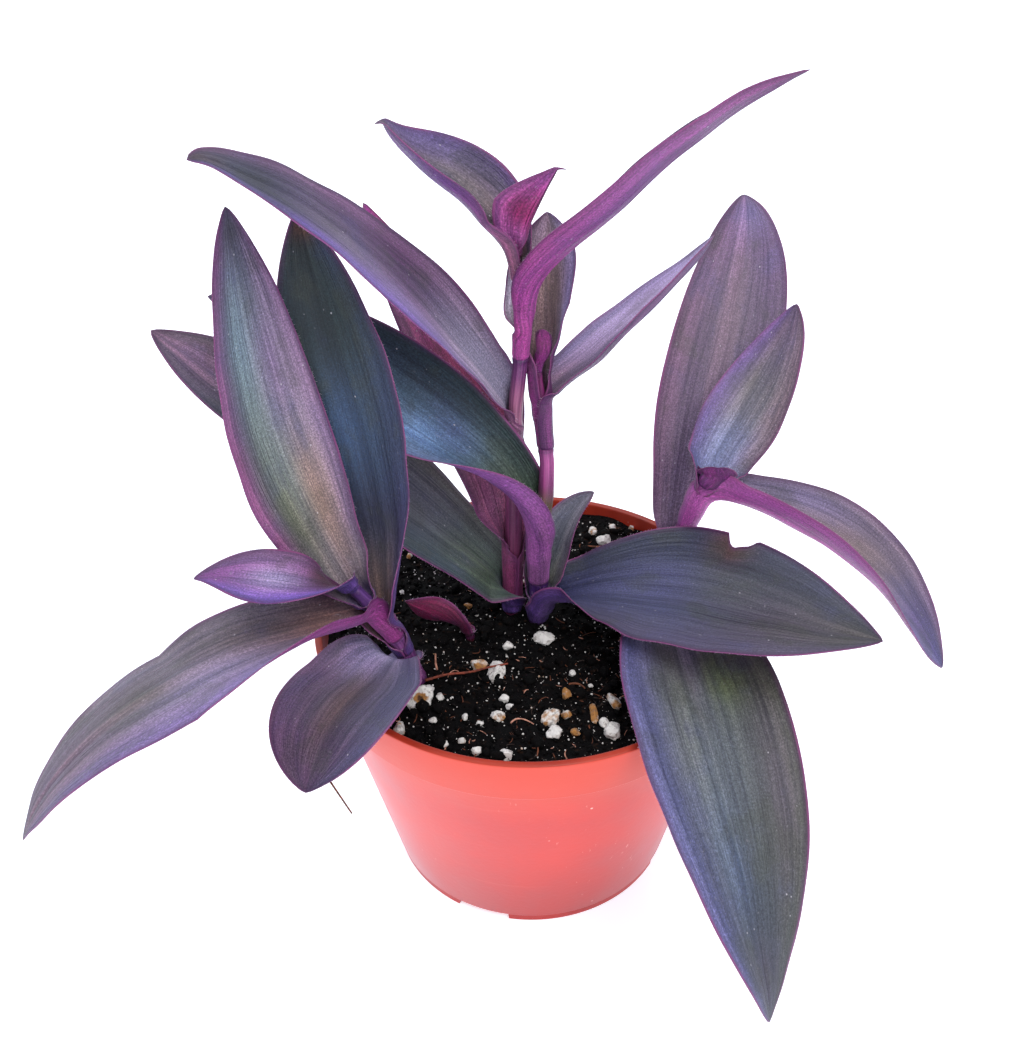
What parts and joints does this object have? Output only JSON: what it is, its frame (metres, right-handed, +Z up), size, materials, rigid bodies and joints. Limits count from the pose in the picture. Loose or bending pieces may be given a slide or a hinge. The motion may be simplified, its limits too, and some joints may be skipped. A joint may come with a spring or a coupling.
{
  "type": "potted tradescantia",
  "caption": "Potted foliage plant: long pointed purple leaves on upright stems, in dark soil in a small round plastic pot with a thick lip and a notched foot.",
  "frame": {"origin": "centre of the pot's underside, on the surface it stands on", "axes": "+Z up along the pot's axis, +X to the right and +Y to the back as seen in the picture"},
  "size_m": [0.2041, 0.1684, 0.1915],
  "materials": {
    "pot_plastic": "semi-matt moulded plastic",
    "soil": "rough damp potting soil",
    "dry_twig": "dry, rough",
    "stem": "smooth, slightly glossy, fleshy",
    "leaf": "satin, fleshy, with a grey bloom",
    "young_leaf": "satin, fleshy, finely haired margin"
  },
  "bodies": {
    "root": {"pot": "pot_plastic", "soil": "soil", "twig": "dry_twig", "stem_tall": "stem", "stem_middle": "stem", "stem_left": "stem", "stem_right": "stem", "stem_sprout": "stem", "leaf_tall_1": "leaf", "leaf_tall_2": "leaf", "leaf_tall_3": "leaf", "leaf_tall_4": "leaf", "leaf_tall_5": "young_leaf", "leaf_tall_6": "young_leaf", "leaf_middle_1": "leaf", "leaf_middle_2": "young_leaf", "leaf_middle_3": "leaf", "leaf_middle_4": "young_leaf", "leaf_middle_5": "young_leaf", "leaf_middle_6": "young_leaf", "leaf_left_1": "young_leaf", "leaf_left_2": "leaf", "leaf_left_3": "leaf", "leaf_left_4": "leaf", "leaf_left_5": "young_leaf", "leaf_right_1": "leaf", "leaf_right_2": "leaf", "leaf_right_3": "leaf", "leaf_right_4": "young_leaf", "leaf_right_5": "young_leaf", "leaf_sprout": "young_leaf"}
  },
  "joints": []
}
